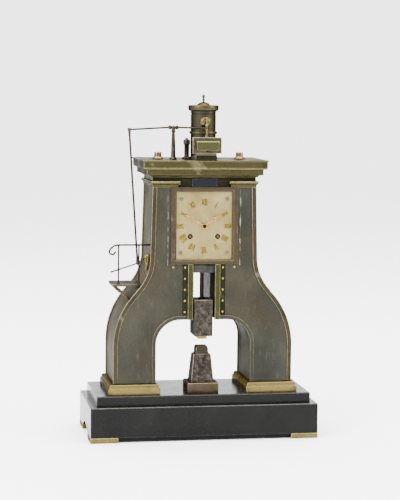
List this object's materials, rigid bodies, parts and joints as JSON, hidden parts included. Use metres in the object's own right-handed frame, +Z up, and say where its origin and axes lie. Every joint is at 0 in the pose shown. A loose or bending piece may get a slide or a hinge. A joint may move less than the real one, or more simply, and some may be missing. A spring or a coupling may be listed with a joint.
{
  "type": "steam hammer mantel clock",
  "caption": "Industrial mantel clock shaped as a double-frame steam hammer on a stepped marble base, with a sliding ram, valve gear, square dial and winding squares.",
  "frame": {"origin": "middle of the base on the plane of the feet", "axes": "+X to the right seen from the dial, +Y towards the back door, +Z up"},
  "size_m": [0.2856, 0.1266, 0.4264],
  "materials": {
    "black_marble": "polished",
    "ebonised_board": "matt",
    "gilt_brass": "lacquered, polished",
    "olive_brass": "aged, satin",
    "patinated_sheet": "dark patina, satin",
    "dark_lining": "blackened",
    "oxidised_steel": "browned, satin",
    "silvered_metal": "silvered, tarnished",
    "dial_silver": "silvered, matt",
    "gilt_relief": "gilt",
    "rose_gilt": "gilt, polished",
    "bright_screws": "polished",
    "brown_bronze": "browned",
    "pale_brass": "polished, worn",
    "mottled_iron": "corroded, mottled",
    "worn_steel": "drawn, worn",
    "copper_frame": "brown lacquer",
    "movement_brass": "grained",
    "bell_metal": "turned"
  },
  "bodies": {
    "case": {"base_block": "black_marble", "base_board": "ebonised_board", "base_feet": "gilt_brass", "base_step": "black_marble", "leg_plinths": "gilt_brass", "front_panels": "patinated_sheet", "back_panels": "patinated_sheet", "side_rims": "olive_brass", "arch_rims": "patinated_sheet", "side_skins": "patinated_sheet", "arch_skins": "patinated_sheet", "slot_lining": "dark_lining", "capitals": "olive_brass", "neck": "dark_lining", "cornice": "olive_brass", "tie_bolts": "pale_brass", "cylinder_barrel": "oxidised_steel", "cylinder_fittings": "pale_brass", "steam_chest": "silvered_metal", "chest_cover": "olive_brass", "steam_pipe": "brown_bronze", "valve_column": "brown_bronze", "lever_bracket": "gilt_brass", "platform": "silvered_metal", "platform_brackets": "brown_bronze", "railing": "pale_brass", "guides": "olive_brass", "guide_rivets": "pale_brass", "gland_block": "oxidised_steel", "anvil": "mottled_iron", "anvil_die": "oxidised_steel", "anvil_plinth": "gilt_brass", "dial_frame": "copper_frame", "dial_plate": "dial_silver", "dial_numerals": "gilt_relief", "dial_screws": "bright_screws", "movement_frame": "movement_brass", "bell": "bell_metal", "door_hinges": "brown_bronze"},
    "hammer": {"ram": "mottled_iron", "ram_die": "gilt_brass", "piston_rod": "worn_steel"},
    "lift_lever": {"lift_lever": "worn_steel"},
    "minute_arbor": {"center_arbor": "worn_steel", "minute_hand": "rose_gilt"},
    "hour_pipe": {"hour_wheel": "movement_brass", "hour_hand": "rose_gilt"},
    "minute_wheel": {"minute_wheel": "movement_brass"},
    "third_wheel": {"third_wheel": "movement_brass"},
    "going_barrel": {"going_barrel": "movement_brass"},
    "strike_barrel": {"strike_barrel": "movement_brass"},
    "going_winder": {"going_winder": "worn_steel"},
    "strike_winder": {"strike_winder": "worn_steel"},
    "balance": {"balance_wheel": "movement_brass"},
    "bell_hammer": {"bell_hammer": "worn_steel"},
    "hand_lever": {"hand_lever": "brown_bronze"},
    "pull_rod": {"pull_rod": "brown_bronze"},
    "valve_beam": {"valve_beam": "brown_bronze"},
    "valve_spindle": {"valve_spindle": "pale_brass"},
    "rear_door": {"rear_door": "olive_brass"}
  },
  "joints": [
    {"name": "hammer_slide", "type": "slide", "parent": "case", "child": "hammer", "axis": [0, 0, 1], "range_m": [-0.0086, 0.02]},
    {"name": "lift_lever_pivot", "type": "hinge", "parent": "case", "child": "lift_lever", "pos_m": [0.036, -0.019, 0.234], "axis": [0, 1, 0], "range_deg": [-13.5, 31]},
    {"name": "minute_hand_turn", "type": "hinge", "parent": "case", "child": "minute_arbor", "pos_m": [0, -0.041, 0.2645], "axis": [0, 1, 0], "continuous": true},
    {"name": "hour_hand_turn", "type": "hinge", "parent": "case", "child": "hour_pipe", "pos_m": [0, -0.04, 0.2645], "axis": [0, 1, 0], "continuous": true},
    {"name": "minute_wheel_turn", "type": "hinge", "parent": "case", "child": "minute_wheel", "pos_m": [0, -0.02, 0.2765], "axis": [0, 1, 0], "continuous": true},
    {"name": "third_wheel_turn", "type": "hinge", "parent": "case", "child": "third_wheel", "pos_m": [-0.01273, 0, 0.27723], "axis": [0, 1, 0], "continuous": true},
    {"name": "going_barrel_turn", "type": "hinge", "parent": "case", "child": "going_barrel", "pos_m": [-0.0172, 0, 0.2516], "axis": [0, 1, 0], "continuous": true},
    {"name": "strike_barrel_turn", "type": "hinge", "parent": "case", "child": "strike_barrel", "pos_m": [0.0172, 0, 0.2516], "axis": [0, 1, 0], "continuous": true},
    {"name": "going_winder_turn", "type": "hinge", "parent": "case", "child": "going_winder", "pos_m": [-0.0172, -0.036, 0.2516], "axis": [0, 1, 0], "continuous": true},
    {"name": "strike_winder_turn", "type": "hinge", "parent": "case", "child": "strike_winder", "pos_m": [0.0172, -0.036, 0.2516], "axis": [0, 1, 0], "continuous": true},
    {"name": "balance_swing", "type": "hinge", "parent": "case", "child": "balance", "pos_m": [0, 0.003, 0.31], "axis": [0, 0, 1], "range_deg": [-150, 150]},
    {"name": "bell_hammer_swing", "type": "hinge", "parent": "case", "child": "bell_hammer", "pos_m": [0.033, 0.022, 0.29], "axis": [0, -1, 0], "range_deg": [-1, 12]},
    {"name": "hand_lever_pivot", "type": "hinge", "parent": "case", "child": "hand_lever", "pos_m": [-0.0694, -0.018, 0.2246], "axis": [0, 1, 0], "range_deg": [-12, 12]},
    {"name": "pull_rod_foot", "type": "hinge", "parent": "hand_lever", "child": "pull_rod", "pos_m": [-0.08, -0.018, 0.2169], "axis": [0, 1, 0], "range_deg": [-11.7, 11.7]},
    {"name": "valve_beam_pivot", "type": "hinge", "parent": "case", "child": "valve_beam", "pos_m": [-0.0362, -0.018, 0.3855], "axis": [0, 1, 0], "range_deg": [-2.6, 2.6]},
    {"name": "valve_spindle_slide", "type": "slide", "parent": "case", "child": "valve_spindle", "axis": [0, 0, 1], "range_m": [-0.0016, 0.0016]},
    {"name": "rear_door_hinge", "type": "hinge", "parent": "case", "child": "rear_door", "pos_m": [0.0438, 0.0433, 0.262], "axis": [0, 0, -1], "range_deg": [0, 110]}
  ],
  "couplings": [
    {"joint": "lift_lever_pivot", "follows": "hammer_slide", "rad_per_m": 26.8},
    {"joint": "hour_hand_turn", "follows": "minute_hand_turn", "ratio": 0.083333},
    {"joint": "minute_wheel_turn", "follows": "minute_hand_turn", "ratio": -0.33333},
    {"joint": "third_wheel_turn", "follows": "minute_hand_turn", "ratio": -8},
    {"joint": "going_barrel_turn", "follows": "minute_hand_turn", "ratio": -0.175},
    {"joint": "pull_rod_foot", "follows": "hand_lever_pivot", "ratio": -0.9572},
    {"joint": "valve_beam_pivot", "follows": "hand_lever_pivot", "ratio": 0.2051},
    {"joint": "valve_spindle_slide", "follows": "hand_lever_pivot", "m_per_rad": -0.00742}
  ]
}
